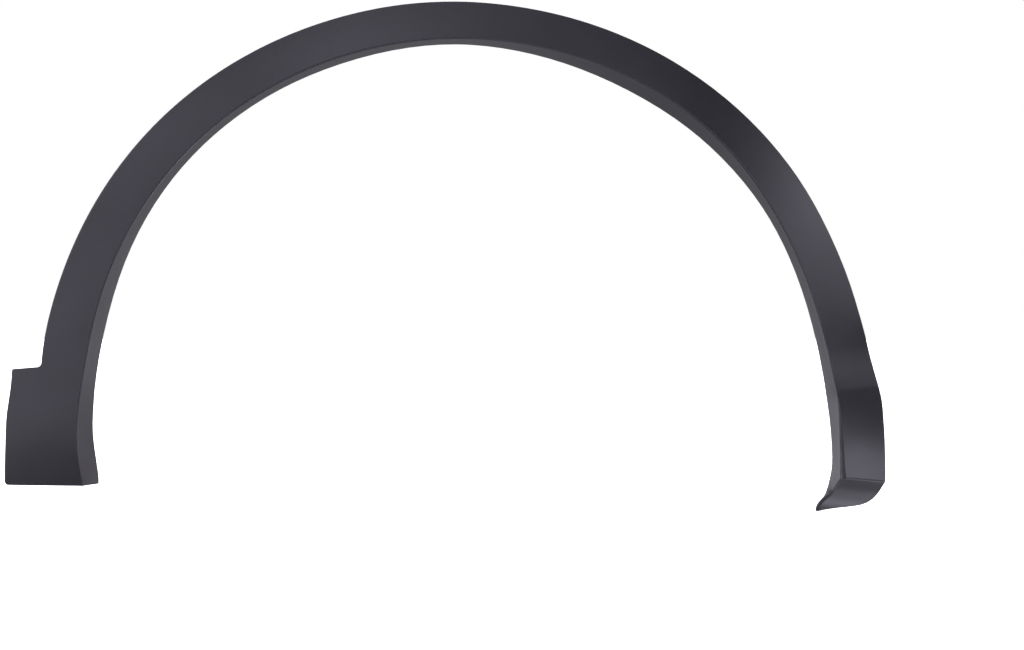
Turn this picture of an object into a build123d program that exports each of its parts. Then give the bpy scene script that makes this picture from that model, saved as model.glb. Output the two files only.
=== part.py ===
from build123d import *
import math
import os

os.makedirs("parts", exist_ok=True)

# Wheel arch trim: one moulding that frames a car's wheel opening.
# Frame: +Z up, +X along the car, the outer face looks to -Y and the body panel
# lies on the +Y side. The origin is on the clip seat at the crown of the arch.

# ------------------------------------------------------------------ dimensions (mm)
arch_drop = 422.0        # the arch's axis lies this far below the crown clip seat
arch_fore = 7.0          # the arch's datum plane lies this far in front of that seat

wall = 2.8               # thickness of the outer face
lip_wall = 2.6           # thickness of the wheel-side lip
rim_wall = 2.4           # thickness of the outer rim and of the end wall
crease_radius = 1.6      # round between the outer face and the lip
crease_foot = 4.2        # it opens up to this at the end of the right foot
face_crown = 0.5         # how far the face swells at mid width
bend_radius = 2.4        # round along the bend at the right foot's end
edge_radius = 1.2        # round along the outer edge
lip_end = 4.5            # flat width at the rear edge of the lip

cove_radius = 48.0       # hollow sweep of the end flange below the bend
cove_start = 70.0        # it leaves the bend at this angle from vertical
bend_p1 = (412.7, 9.5, -62.7)        # bend line, at the crease (x, depth, height)
bend_p2 = (456.2, 31.7, -67.9)       # and at the outer edge

foot_base = -69.4        # flat lower end of the tabbed foot, from the arch's axis

seat_len = 20.0          # clip seat, along the radius
seat_wid = 22.0          # clip seat, along the arch
seat_plate = 2.5         # thickness of its top plate
seat_wall = 1.8          # thickness of its three walls
seat_slot = 7.0          # width of the slot that takes the clip's neck
slot_end = 5.5           # the slot's round end, along the arch from the seat's middle
seat_gap = 2.0           # how far the seat stays in front of the body panel

rib_wall = 1.5           # stiffening ribs between the seats

# Stations around the arch: angle from +X (deg), radius of the crease, radius of the
# lip's rear edge, how far the crease stands proud of the body panel, slope of the
# face towards the panel, depth of the lip.
STATIONS = [
    (-17.0, 388.90, 404.62, 54.46, 0.215, 71.5),
    (-14.5, 386.98, 401.82, 51.06, 0.219, 67.5),
    (-13.4, 387.27, 401.62, 49.31, 0.221, 65.2),
    (-12.5, 391.81, 404.10, 46.80, 0.223, 61.4),
    (-11.7, 401.14, 406.70, 43.29, 0.224, 55.6),
    (-10.9, 411.26, 407.73, 39.57, 0.226, 49.2),
    (-10.1, 413.22, 408.38, 37.68, 0.227, 46.6),
    (-9.3, 414.13, 408.75, 36.01, 0.229, 44.5),
    (-8.5, 414.79, 409.11, 34.40, 0.230, 42.3),
    (-7.2, 413.82, 409.24, 31.77, 0.236, 39.9),
    (-6.0, 413.03, 408.63, 29.39, 0.242, 37.9),
    (-4.8, 412.33, 407.70, 27.17, 0.247, 36.2),
    (-3.6, 411.73, 406.69, 25.25, 0.249, 34.6),
    (-2.4, 411.23, 405.67, 23.59, 0.248, 33.2),
    (-1.2, 410.78, 404.73, 22.32, 0.248, 32.4),
    (0.0, 410.32, 403.77, 21.42, 0.248, 31.9),
    (1.0, 409.91, 402.95, 20.91, 0.248, 31.8),
    (1.8, 409.56, 402.30, 20.69, 0.248, 31.7),
    (2.4, 409.24, 401.86, 20.67, 0.249, 31.8),
    (2.9, 408.94, 401.54, 20.72, 0.250, 31.9),
    (3.3, 408.65, 401.28, 20.81, 0.251, 32.2),
    (3.6, 408.39, 401.09, 20.97, 0.251, 32.6),
    (3.8, 408.19, 400.96, 21.11, 0.251, 32.8),
    (3.93, 408.05, 400.88, 21.18, 0.251, 32.8),
    (4.07, 407.91, 400.79, 21.21, 0.251, 32.9),
    (4.2, 407.76, 400.71, 21.19, 0.252, 32.8),
    (4.4, 407.54, 400.61, 21.12, 0.253, 32.9),
    (4.7, 407.23, 400.48, 21.02, 0.253, 33.2),
    (5.2, 406.74, 400.36, 20.85, 0.254, 33.5),
    (5.8, 406.27, 400.18, 20.62, 0.256, 33.8),
    (6.6, 405.72, 399.85, 20.30, 0.259, 34.3),
    (7.4, 405.21, 399.57, 19.94, 0.262, 34.6),
    (8.2, 404.79, 399.36, 19.51, 0.262, 34.9),
    (9.0, 404.44, 399.25, 19.09, 0.260, 35.1),
    (9.8, 404.09, 399.14, 18.78, 0.256, 35.5),
    (10.6, 403.72, 399.01, 18.67, 0.252, 35.6),
    (11.6, 403.25, 398.79, 18.79, 0.248, 35.7),
    (14.0, 402.46, 398.51, 18.92, 0.248, 35.8),
    (19.0, 402.03, 398.65, 18.88, 0.266, 35.6),
    (26.0, 403.00, 399.91, 18.78, 0.277, 35.3),
    (34.0, 404.89, 401.33, 18.58, 0.277, 34.9),
    (43.0, 407.69, 401.09, 18.17, 0.277, 34.2),
    (52.0, 408.67, 399.92, 18.03, 0.277, 34.0),
    (62.0, 407.01, 398.27, 18.11, 0.277, 34.1),
    (72.0, 404.96, 398.67, 18.08, 0.277, 34.1),
    (82.0, 403.74, 400.41, 18.06, 0.277, 34.1),
    (90.0, 403.22, 401.61, 18.06, 0.277, 34.1),
    (98.0, 402.85, 401.19, 18.06, 0.277, 34.1),
    (108.0, 402.49, 400.17, 18.08, 0.277, 34.1),
    (118.0, 402.06, 400.31, 18.12, 0.277, 34.1),
    (128.0, 401.42, 399.92, 18.16, 0.274, 34.2),
    (138.0, 400.35, 398.36, 18.24, 0.263, 34.3),
    (148.0, 398.76, 395.07, 18.31, 0.239, 34.3),
    (156.0, 397.44, 391.47, 18.24, 0.212, 34.3),
    (163.0, 395.85, 388.52, 18.18, 0.186, 34.2),
    (169.0, 394.89, 387.45, 18.14, 0.167, 34.2),
    (174.0, 395.77, 387.58, 18.12, 0.162, 34.2),
    (178.0, 397.96, 388.02, 18.08, 0.162, 34.4),
    (182.0, 400.02, 388.61, 18.04, 0.162, 34.6),
    (186.0, 400.75, 388.02, 17.98, 0.162, 35.0),
    (188.0, 400.59, 388.15, 17.98, 0.162, 35.2),
    (190.0, 400.23, 389.80, 17.97, 0.162, 35.5),
    (195.0, 401.23, 396.34, 17.97, 0.162, 35.9),
]

# Radius of the outer edge over the arch (angle, radius)
OUTER = [
    (169.0, 443.9), (163.0, 444.8), (156.0, 445.8), (148.0, 447.1), (138.0, 447.9),
    (128.0, 447.6), (118.0, 446.6), (108.0, 445.7), (98.0, 445.3), (90.0, 444.9),
    (82.0, 444.5), (72.0, 445.1), (62.0, 446.4), (52.0, 447.9), (43.0, 449.0),
    (34.0, 449.2), (26.0, 448.4), (19.0, 448.7), (14.0, 449.4),
]
# Outer edge of the right foot, down and round its corner to the tip (x, z from the axis)
RIGHT_EDGE = [
    (443.0, 83.5), (446.0, 70.6), (449.6, 57.8), (453.2, 45.0), (457.0, 32.2),
    (460.1, 19.1), (461.8, 0.7), (462.8, -19.9), (462.6, -45.6), (462.0, -60.7),
    (460.5, -71.8), (457.1, -80.6), (449.3, -89.4), (440.5, -93.4), (427.1, -95.4),
    (404.9, -97.0), (388.7, -99.0), (374.0, -100.5),
]
# Outer edge of the left foot, from its base up to the tab's top corner
LEFT_EDGE = [
    (-481.0, foot_base), (-480.5, -56.8), (-478.8, -31.0), (-477.6, -5.4),
    (-476.6, 7.3), (-474.7, 20.0), (-472.8, 32.8), (-471.6, 45.5), (-471.0, 54.5),
]
tab_root = (-438.9, 57.1)

# Clip seats: nine over the arch, one in the right foot, two in the left foot's tab
# (angle, radius), and the ribs between them (angle)
SEATS = [(16.0, 424.5), (34.5, 425.7), (53.0, 427.4), (71.5, 424.0), (90.0, 422.0),
         (108.5, 421.4), (127.0, 420.6), (145.5, 419.0), (164.0, 415.3),
         (-1.5, 437.0), (177.0, 452.0), (185.2, 440.0)]
RIB_ANGLES = [6.0, 25.25, 43.75, 62.25, 80.75, 99.25, 117.75, 136.25, 154.75, 171.0]


# ------------------------------------------------------------------ the trim's surfaces
def panel(x, z):
    """Depth of the body panel that the trim lies on."""
    y = 55.0 * (max(x + 20.0, 0.0) / 475.0) ** 2.5
    y += 8.0 * (max(-20.0 - x, 0.0) / 440.0) ** 2
    y += 10.0 * (max(z, 0.0) / 445.0) ** 2
    if x < 0:
        y += 9.0 * (max(-z, 0.0) / 70.0) ** 2
    return y


def panel_at(angle, r):
    a = math.radians(angle)
    return panel(r * math.cos(a), r * math.sin(a))


def reach(angle):
    """How far out a section runs before the outline trims it."""
    table = [(-17, 484), (-4, 478), (4.5, 470), (10.9, 460), (150, 458), (163, 462),
             (169, 480), (174, 496), (195, 504)]
    for (a0, r0), (a1, r1) in zip(table, table[1:]):
        if a0 <= angle <= a1:
            return r0 + (r1 - r0) * (angle - a0) / (a1 - a0)


def back_drop(angle):
    """The right foot runs this much further back than the body panel."""
    table = [(-17, 8), (-13, 7.5), (-8.5, 6.5), (-4, 5.5), (4.5, 5), (11.6, 0), (195, 0)]
    for (a0, d0), (a1, d1) in zip(table, table[1:]):
        if a0 <= angle <= a1:
            return d0 + (d1 - d0) * (angle - a0) / (a1 - a0)


def face_depth(row, r):
    angle, rc, rl, proud, slope, lip = row
    return panel_at(angle, r) - proud + slope * (r - rc)


def crease_round(angle):
    """Round of the crease: small over the arch, opening down the right foot."""
    table = [(-17, crease_foot), (-8.5, crease_foot), (-6.5, 3.4), (4, crease_radius),
             (195, crease_radius)]
    for (a0, r0), (a1, r1) in zip(table, table[1:]):
        if a0 <= angle <= a1:
            return r0 + (r1 - r0) * (angle - a0) / (a1 - a0)


def radial_plane(angle):
    """Section plane at an angle round the arch: x is the radius, y the depth."""
    a = math.radians(angle)
    return Plane(origin=(0, -arch_fore, -arch_drop),
                 x_dir=(math.cos(a), 0, math.sin(a)),
                 z_dir=(-math.sin(a), 0, math.cos(a)))


def section_corners(row, face_in, lip_in, extra):
    """Corners of a section whose face and lip lie inside the outer surface."""
    angle, rc, rl, proud, slope, lip = row
    re = reach(angle)
    ax, ay = rc, face_depth(row, rc)
    ex, ey = re, face_depth(row, re)
    mx = 0.5 * (ax + ex)
    my = face_depth(row, mx) - face_crown
    # circle through the three points of the face
    d = 2 * (ax * (my - ey) + mx * (ey - ay) + ex * (ay - my))
    qa, qm, qe = ax * ax + ay * ay, mx * mx + my * my, ex * ex + ey * ey
    cx = (qa * (my - ey) + qm * (ey - ay) + qe * (ay - my)) / d
    cy = (qa * (ex - mx) + qm * (ax - ex) + qe * (mx - ax)) / d
    rf = math.hypot(ax - cx, ay - cy)
    # line of the lip, and its direction into the material
    yl = ay + lip
    dx, dy = rl - ax, yl - ay
    n = math.hypot(dx, dy)
    dx, dy = dx / n, dy / n
    nx, ny = dy, -dx
    # round between the two
    rr = max(crease_round(angle) - face_in, 0.7)
    ox, oy = ax + (lip_in + rr) * nx, ay + (lip_in + rr) * ny
    big = rf - face_in - rr
    b = (ox - cx) * dx + (oy - cy) * dy
    c = (ox - cx) ** 2 + (oy - cy) ** 2 - big * big
    s = -b - math.sqrt(b * b - c)
    qx, qy = ox + s * dx, oy + s * dy
    ux, uy = (qx - cx) / big, (qy - cy) / big
    bx, by = ux - nx, uy - ny
    bn = math.hypot(bx, by)
    face_end = (cx + (rf - face_in) * ux, cy + (rf - face_in) * uy)
    round_mid = (qx + rr * bx / bn, qy + rr * by / bn)
    lip_start = (qx - rr * nx, qy - rr * ny)
    k = (n + extra) - s
    lip_stop = (lip_start[0] + k * dx, lip_start[1] + k * dy)
    if extra == 0:
        lip_stop = (rl, yl)
    fy = cy - math.sqrt((rf - face_in) ** 2 - (re - cx) ** 2)
    mid_x = 0.5 * (face_end[0] + re)
    fm = cy - math.sqrt((rf - face_in) ** 2 - (mid_x - cx) ** 2)
    return (re, fy), (mid_x, fm), face_end, round_mid, lip_start, lip_stop


def outer_section(row):
    e, m, f, rm, ls, lz = section_corners(row, 0.0, 0.0, 0.0)
    angle, rc = row[0], row[1]
    k = rc + 24.0
    drop = back_drop(angle)
    p1 = (lz[0] + lip_end, lz[1])
    p2 = (k, panel_at(angle, k) + drop)
    p3 = (e[0], panel_at(angle, e[0]) + drop)
    ThreePointArc(e, m, f)
    ThreePointArc(f, rm, ls)
    Polyline(ls, lz, p1, p2, p3, e)


def inner_section(row, face_in, lip_in):
    e, m, f, rm, ls, lz = section_corners(row, face_in, lip_in, 30.0)
    ThreePointArc(e, m, f)
    ThreePointArc(f, rm, ls)
    Polyline(ls, lz, (e[0], lz[1]), e)


# ------------------------------------------------------------------ the outline, side on
elevation = Plane(origin=(0, -arch_fore, -arch_drop), x_dir=(1, 0, 0), z_dir=(0, -1, 0))


def outline_runs(inset):
    """The outline's runs from the left base round to the right tip, moved inwards."""
    arc = [(r * math.cos(math.radians(a)), r * math.sin(math.radians(a))) for a, r in OUTER]
    runs = [[(-366.0, foot_base), LEFT_EDGE[0]], LEFT_EDGE, [LEFT_EDGE[-1], tab_root],
            [tab_root] + arc + RIGHT_EDGE, [RIGHT_EDGE[-1], (366.0, -101.4)]]
    chain = [runs[0][0]] + [p for run in runs for p in run[1:]]
    moved = []
    for i, p in enumerate(chain):
        sides = []
        for j, k in ((i - 1, i), (i, i + 1)):
            if j >= 0 and k < len(chain):
                dx, dz = chain[k][0] - chain[j][0], chain[k][1] - chain[j][1]
                n = math.hypot(dx, dz)
                sides.append((dz / n, -dx / n))
        if len(sides) == 1:
            sides = sides * 2
        (n1x, n1z), (n2x, n2z) = sides
        f = inset / (1 + n1x * n2x + n1z * n2z)
        moved.append((p[0] + f * (n1x + n2x), p[1] + f * (n1z + n2z)))
    out, at = [], 0
    for run in runs:
        out.append(moved[at:at + len(run)])
        at += len(run) - 1
    return out


def outline_lines(inset):
    base, left, top, over, tip = outline_runs(inset)
    Line(base[0], base[1])
    Spline(*left)
    Line(top[0], top[1])
    Spline(*over)
    Line(tip[0], tip[1])
    ThreePointArc(tip[1], (0, 374.0), base[0])


def cove_plane():
    """Plane across the axis of the end flange's hollow sweep, at one end of it."""
    a = math.radians(cove_start)
    p1 = Vector(bend_p1[0], bend_p1[1] - arch_fore, bend_p1[2] - arch_drop)
    p2 = Vector(bend_p2[0], bend_p2[1] - arch_fore, bend_p2[2] - arch_drop)
    along = (p2 - p1).normalized()
    back = (Vector(0, 1, 0) - along * along.Y).normalized()
    up = along.cross(back)
    axis = p1 - back * (cove_radius * math.cos(a)) - up * (cove_radius * math.sin(a))
    return Plane(origin=axis - along * 120, x_dir=back, z_dir=along)


def row_at(angle):
    """Section values between two stations."""
    for a, b in zip(STATIONS, STATIONS[1:]):
        if a[0] <= angle <= b[0]:
            t = (angle - a[0]) / (b[0] - a[0])
            return tuple(u + (v - u) * t for u, v in zip(a, b))


def seat_plane(angle, r):
    """Outer face of a clip seat: x is the radius, z looks to the body panel."""
    a = math.radians(angle)
    c, s = math.cos(a), math.sin(a)
    depth = panel(r * c, r * s) - seat_gap
    return Plane(origin=(r * c, depth - arch_fore, r * s - arch_drop),
                 x_dir=(c, 0, s), z_dir=(0, 1, 0))


def rib_lines(angle):
    row = row_at(angle)
    rc, rl, lip = row[1], row[2], row[5]
    yc = face_depth(row, rc)
    k = rc + 17.0
    Polyline((rc - 12.0, yc - 8.0), (rc + 62.0, yc - 8.0),
             (rc + 62.0, panel_at(angle, rc + 62.0) - 2.5), (k, panel_at(angle, k) - 2.5),
             (rl, yc + 0.66 * lip), (rc - 12.0, yc + 0.66 * lip), close=True)


# ------------------------------------------------------------------ hollow behind the face
with BuildPart() as hollow:
    for row in STATIONS:
        with BuildSketch(radial_plane(row[0])):
            with BuildLine():
                inner_section(row, wall, lip_wall)
            make_face()
    loft()
    with BuildSketch(cove_plane()):
        Circle(cove_radius + wall)
    extrude(amount=260, mode=Mode.SUBTRACT)
    with BuildSketch(elevation.offset(-200)):
        with BuildLine():
            outline_lines(rim_wall)
        make_face()
    extrude(amount=400, mode=Mode.INTERSECT)

# space up to the middle of the walls, which the seats and ribs are rooted in
with BuildPart() as core:
    for row in STATIONS:
        with BuildSketch(radial_plane(row[0])):
            with BuildLine():
                inner_section(row, 0.5 * wall, 0.5 * lip_wall)
            make_face()
    loft()
    with BuildSketch(cove_plane()):
        Circle(cove_radius + 0.5 * wall)
    extrude(amount=260, mode=Mode.SUBTRACT)
    with BuildSketch(elevation.offset(-200)):
        with BuildLine():
            outline_lines(0.5 * rim_wall)
        make_face()
    extrude(amount=400, mode=Mode.INTERSECT)

# ------------------------------------------------------------------ clip seats and ribs
with BuildPart() as backing:
    for angle, r in SEATS:
        with BuildSketch(seat_plane(angle, r)):
            Rectangle(seat_len, seat_wid)
            with Locations((0, seat_wall)):
                Rectangle(seat_len - 2 * seat_wall, seat_wid, mode=Mode.SUBTRACT)
        extrude(amount=-45)
        with BuildSketch(seat_plane(angle, r)):
            Rectangle(seat_len, seat_wid)
            with Locations((0, slot_end + seat_wid / 2)):
                Rectangle(seat_slot, seat_wid, mode=Mode.SUBTRACT)
            with Locations((0, slot_end)):
                Circle(seat_slot / 2, mode=Mode.SUBTRACT)
        extrude(amount=-seat_plate)
    for angle in RIB_ANGLES:
        with BuildSketch(radial_plane(angle)):
            with BuildLine():
                rib_lines(angle)
            make_face()
        extrude(amount=0.5 * rib_wall, both=True)
    add(core.part, mode=Mode.INTERSECT)

# ------------------------------------------------------------------ outer form
with BuildPart() as form:
    for row in STATIONS:
        with BuildSketch(radial_plane(row[0])):
            with BuildLine():
                outer_section(row)
            make_face()
    loft()
    # the right foot folds under along the bend line
    with BuildSketch(cove_plane()):
        Circle(cove_radius)
    extrude(amount=260, mode=Mode.SUBTRACT)
    cove = form.faces().filter_by(GeomType.CYLINDER)[0]
    fillet(cove.edges().sort_by(Axis.Y)[:3], bend_radius)
    # outline seen from the side
    with BuildSketch(elevation.offset(-200)) as outline:
        with BuildLine():
            outline_lines(0.0)
        make_face()
        fillet(outline.vertices().sort_by_distance(LEFT_EDGE[0])[0], 4.0)
        fillet(outline.vertices().sort_by_distance(LEFT_EDGE[-1])[0], 1.5)
        fillet(outline.vertices().sort_by_distance(tab_root)[0], 5.0)
    extrude(amount=400, mode=Mode.INTERSECT)


def axis_distance(edge):
    mid = edge @ 0.5
    return math.hypot(mid.X, mid.Z + arch_drop)


def outer_edges(half):
    """Edges where the outer face meets the outline, without the bend and the cut at x = 0."""
    front = half.faces().filter_by(lambda f: f.normal_at().Y < -0.5).sort_by(SortBy.AREA)[-1]
    return [e for e in front.edges()
            if axis_distance(e) > 430 and abs((e @ 0.5).X) > 1
            and not ((e @ 0.5).X > 430 and e.length < 60)]


# the rounds are put on half by half
with BuildPart() as left_half:
    add(form.part)
    split(bisect_by=Plane.YZ, keep=Keep.BOTTOM)
    fillet(outer_edges(left_half), edge_radius)

with BuildPart() as right_half:
    add(form.part)
    split(bisect_by=Plane.YZ, keep=Keep.TOP)
    fillet(outer_edges(right_half), edge_radius)

# ------------------------------------------------------------------ the moulding
with BuildPart() as trim:
    add(left_half.part)
    add(right_half.part)
    add(hollow.part, mode=Mode.SUBTRACT)
    add(backing.part)

trim.part.label = "wheel_arch_trim"
export_step(trim.part, "parts/wheel_arch_trim.step")
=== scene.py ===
import bpy
import math
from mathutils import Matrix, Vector


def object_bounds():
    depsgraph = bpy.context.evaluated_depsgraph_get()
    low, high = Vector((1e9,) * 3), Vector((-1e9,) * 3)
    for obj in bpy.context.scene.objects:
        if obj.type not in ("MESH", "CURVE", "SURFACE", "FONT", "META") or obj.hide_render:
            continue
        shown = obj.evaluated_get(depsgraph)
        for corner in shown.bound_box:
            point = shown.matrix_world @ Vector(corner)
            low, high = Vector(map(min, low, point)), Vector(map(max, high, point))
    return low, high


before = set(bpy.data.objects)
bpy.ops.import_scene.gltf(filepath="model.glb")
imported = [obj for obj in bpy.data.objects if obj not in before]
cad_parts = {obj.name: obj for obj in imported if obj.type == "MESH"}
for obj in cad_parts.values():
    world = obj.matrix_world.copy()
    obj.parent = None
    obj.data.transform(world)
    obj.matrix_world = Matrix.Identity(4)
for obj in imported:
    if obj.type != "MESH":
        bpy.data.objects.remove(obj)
cad_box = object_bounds()

scene = bpy.context.scene
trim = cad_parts["wheel_arch_trim"]


# ---------------------------------------------------------------- material
def link(tree, a, out, b, into):
    tree.links.new(a.outputs[out], b.inputs[into])


def moulded_plastic():
    """Satin charcoal plastic with a fine moulded grain."""
    mat = bpy.data.materials.new("grained_plastic")
    mat.use_nodes = True
    t = mat.node_tree
    n = t.nodes
    n.clear()
    out = n.new("ShaderNodeOutputMaterial")
    bsdf = n.new("ShaderNodeBsdfPrincipled")
    bsdf.inputs["IOR"].default_value = 1.5
    bsdf.inputs["Specular Tint"].default_value = (0.91, 0.905, 1.0, 1)
    link(t, bsdf, "BSDF", out, "Surface")
    coord = n.new("ShaderNodeTexCoord")

    # colour: a faint cloudiness
    cloud = n.new("ShaderNodeTexNoise")
    cloud.inputs["Scale"].default_value = 22.0
    cloud.inputs["Detail"].default_value = 3.0
    link(t, coord, "Object", cloud, "Vector")
    tone = n.new("ShaderNodeValToRGB")
    tone.color_ramp.elements[0].position = 0.0
    tone.color_ramp.elements[0].color = (0.0169, 0.0161, 0.0197, 1)
    tone.color_ramp.elements[1].position = 1.0
    tone.color_ramp.elements[1].color = (0.0256, 0.0245, 0.0301, 1)
    link(t, cloud, "Fac", tone, "Fac")
    link(t, tone, "Color", bsdf, "Base Color")

    # fine moulded grain: small rounded cells
    grain = n.new("ShaderNodeTexVoronoi")
    grain.feature = "SMOOTH_F1"
    grain.inputs["Scale"].default_value = 1300.0
    grain.inputs["Smoothness"].default_value = 0.6
    link(t, coord, "Object", grain, "Vector")
    fine = n.new("ShaderNodeTexNoise")
    fine.inputs["Scale"].default_value = 2600.0
    fine.inputs["Detail"].default_value = 2.0
    link(t, coord, "Object", fine, "Vector")
    mix = n.new("ShaderNodeMath")
    mix.operation = "MULTIPLY_ADD"
    mix.inputs[1].default_value = 0.5
    link(t, fine, "Fac", mix, 0)
    link(t, grain, "Distance", mix, 2)
    bump = n.new("ShaderNodeBump")
    bump.inputs["Strength"].default_value = 0.12
    bump.inputs["Distance"].default_value = 0.00012
    link(t, mix, "Value", bump, "Height")

    link(t, bump, "Normal", bsdf, "Normal")

    # roughness follows the cloudiness
    rough = n.new("ShaderNodeMapRange")
    rough.inputs["From Min"].default_value = 0.0
    rough.inputs["From Max"].default_value = 1.0
    rough.inputs["To Min"].default_value = 0.2745
    rough.inputs["To Max"].default_value = 0.2925
    link(t, cloud, "Fac", rough, "Value")
    link(t, rough, "Result", bsdf, "Roughness")
    return mat


plastic = moulded_plastic()
for s in trim.material_slots:
    s.material = plastic

# ---------------------------------------------------------------- floor
low = cad_box[0].z - 0.0005
bpy.ops.mesh.primitive_plane_add(size=60.0, location=(0, 0, low))
floor = bpy.context.object
floor.name = "floor"
fm = bpy.data.materials.new("floor")
fm.use_nodes = True
fb = fm.node_tree.nodes["Principled BSDF"]
fb.inputs["Base Color"].default_value = (0.85, 0.85, 0.85, 1)
fb.inputs["Roughness"].default_value = 0.9
fb.inputs["Specular IOR Level"].default_value = 0.0
fb.inputs["Emission Color"].default_value = (1, 1, 1, 1)
fb.inputs["Emission Strength"].default_value = 1.0
floor.data.materials.append(fm)
floor.visible_diffuse = False
floor.visible_glossy = False
floor.visible_shadow = False

# ---------------------------------------------------------------- light
# Soft lamps all round, far away: azimuth from the front towards +X, elevation,
# sharpness, strength.
AMBIENT = 0.000
LAMPS = [
    (-156.4, 2.2, 104.3, 0.863),
    (-136.7, -17.9, 15.0, 0.420),
    (-132.0, -2.9, 110.9, 4.546),
    (-98.4, -19.0, 30.1, 4.504),
    (-77.5, 28.0, 42.4, 8.857),
    (-62.5, -80.2, 8.2, 1.906),
    (-58.2, -13.5, 35.7, 3.714),
    (-38.9, 5.5, 34.3, 1.992),
    (-36.9, 28.3, 137.3, 2.427),
    (-15.7, 36.0, 86.4, 2.676),
    (-2.9, -8.1, 83.2, 3.605),
    (3.5, 44.8, 29.7, 0.807),
    (18.4, 20.8, 78.1, 2.715),
    (20.8, 1.5, 143.7, 4.162),
    (34.1, 36.9, 77.0, 0.368),
    (39.2, -52.7, 40.1, 1.173),
    (52.0, 13.2, 150.0, 3.298),
    (57.2, -16.3, 143.1, 5.253),
    (68.0, 20.6, 150.0, 8.172),
    (70.3, -41.3, 108.2, 5.743),
    (107.2, -41.3, 48.6, 7.853),
    (112.8, -8.0, 35.4, 2.855),
    (150.9, -2.3, 54.9, 0.882),
    (168.6, -24.4, 4.9, 0.295),
]

# and one high behind, for the back
BACK = [
    (180.0, 58.0, 14.0, 13.0),
]


def studio():
    world = bpy.data.worlds.new("studio")
    world.use_nodes = True
    t = world.node_tree
    n = t.nodes
    n.clear()
    coord = n.new("ShaderNodeTexCoord")
    total = None
    for az, el, sharp, strength in LAMPS + BACK:
        a, e = math.radians(az), math.radians(el)
        dot = n.new("ShaderNodeVectorMath")
        dot.operation = "DOT_PRODUCT"
        dot.inputs[1].default_value = (math.sin(a) * math.cos(e),
                                       -math.cos(a) * math.cos(e), math.sin(e))
        link(t, coord, "Generated", dot, 0)
        fall = n.new("ShaderNodeMath")
        fall.operation = "MULTIPLY_ADD"
        fall.inputs[1].default_value = sharp
        fall.inputs[2].default_value = -sharp
        link(t, dot, "Value", fall, 0)
        lobe = n.new("ShaderNodeMath")
        lobe.operation = "EXPONENT"
        link(t, fall, 0, lobe, 0)
        add = n.new("ShaderNodeMath")
        add.operation = "MULTIPLY_ADD"
        add.inputs[1].default_value = strength
        add.inputs[2].default_value = AMBIENT
        link(t, lobe, 0, add, 0)
        if total is not None:
            link(t, total, 0, add, 2)
        total = add
    lamps = n.new("ShaderNodeBackground")
    link(t, total, 0, lamps, "Strength")
    paper = n.new("ShaderNodeBackground")
    paper.inputs["Strength"].default_value = 1.0
    lamps.inputs["Color"].default_value = (0.970, 0.947, 1.015, 1)
    paper.inputs["Color"].default_value = (1, 1, 1, 1)
    path = n.new("ShaderNodeLightPath")
    pick = n.new("ShaderNodeMixShader")
    link(t, path, "Is Camera Ray", pick, 0)
    link(t, lamps, 0, pick, 1)
    link(t, paper, 0, pick, 2)
    out = n.new("ShaderNodeOutputWorld")
    link(t, pick, 0, out, "Surface")
    return world


scene.world = studio()

# ---------------------------------------------------------------- camera
cam_data = bpy.data.cameras.new("camera")
cam = bpy.data.objects.new("camera", cam_data)
scene.collection.objects.link(cam)
cam.location = (0.05989, -2.407, -0.32077)
cam.rotation_euler = (math.radians(90), 0, 0)
cam_data.sensor_width = 36.0
cam_data.lens = 79.60
cam_data.clip_end = 200.0
scene.camera = cam
scene.view_settings.view_transform = "Standard"
